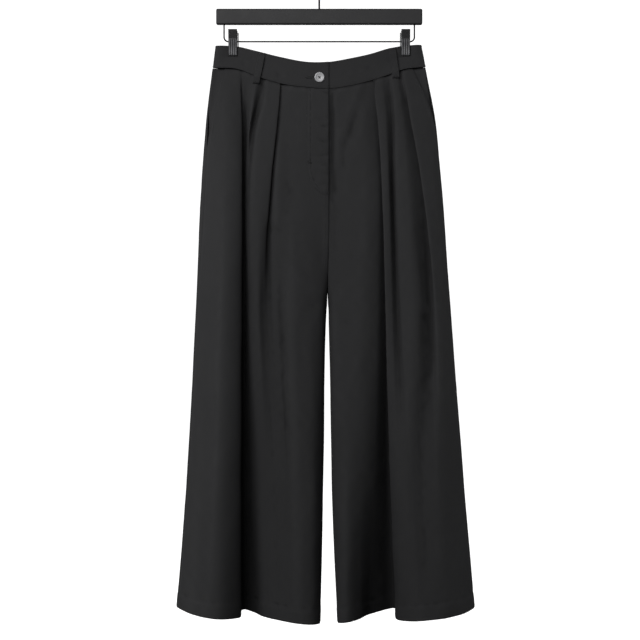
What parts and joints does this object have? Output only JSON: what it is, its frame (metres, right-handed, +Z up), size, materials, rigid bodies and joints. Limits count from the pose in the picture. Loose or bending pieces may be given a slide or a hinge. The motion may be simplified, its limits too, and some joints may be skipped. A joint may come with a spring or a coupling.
{
  "type": "pleated wide leg trousers on a clip hanger",
  "caption": "Charcoal twill wide leg trousers with sewn-in forward pleats, slant pockets, belt loops and a topstitched fly, hung by the waistband from a bar hanger with clips.",
  "frame": {"origin": "inside top of the hook, where it rests on a rail", "axes": "+Z up, opposite to gravity as it hangs; the wearer's front faces -Y; +X is to the right of someone who looks at the front"},
  "size_m": [0.553, 0.1922, 1.2233],
  "materials": {
    "charcoal_twill": "matte charcoal-black cotton twill",
    "button_grey": "light grey, soft gloss",
    "black_satin_bar": "satin black paint",
    "black_wire": "black coated wire",
    "clip_black_steel": "blackened steel"
  },
  "bodies": {
    "root": {"front_left": "charcoal_twill", "front_right": "charcoal_twill", "back_left": "charcoal_twill", "back_right": "charcoal_twill", "waistband_front_left": "charcoal_twill", "waistband_front_right": "charcoal_twill", "waistband_back": "charcoal_twill", "fly_placket": "charcoal_twill", "pocket_side_left": "charcoal_twill", "pocket_side_right": "charcoal_twill", "belt_loop_front_left": "charcoal_twill", "belt_loop_front_right": "charcoal_twill", "belt_loop_back_left": "charcoal_twill", "belt_loop_back_centre": "charcoal_twill", "belt_loop_back_right": "charcoal_twill", "button": "button_grey", "hanger_bar": "black_satin_bar", "hanger_hook": "black_wire", "hanger_wire": "black_wire", "clip_left_front_jaw": "clip_black_steel", "clip_left_rear_jaw": "clip_black_steel", "clip_left_spring": "clip_black_steel", "clip_right_front_jaw": "clip_black_steel", "clip_right_rear_jaw": "clip_black_steel", "clip_right_spring": "clip_black_steel"}
  },
  "joints": []
}
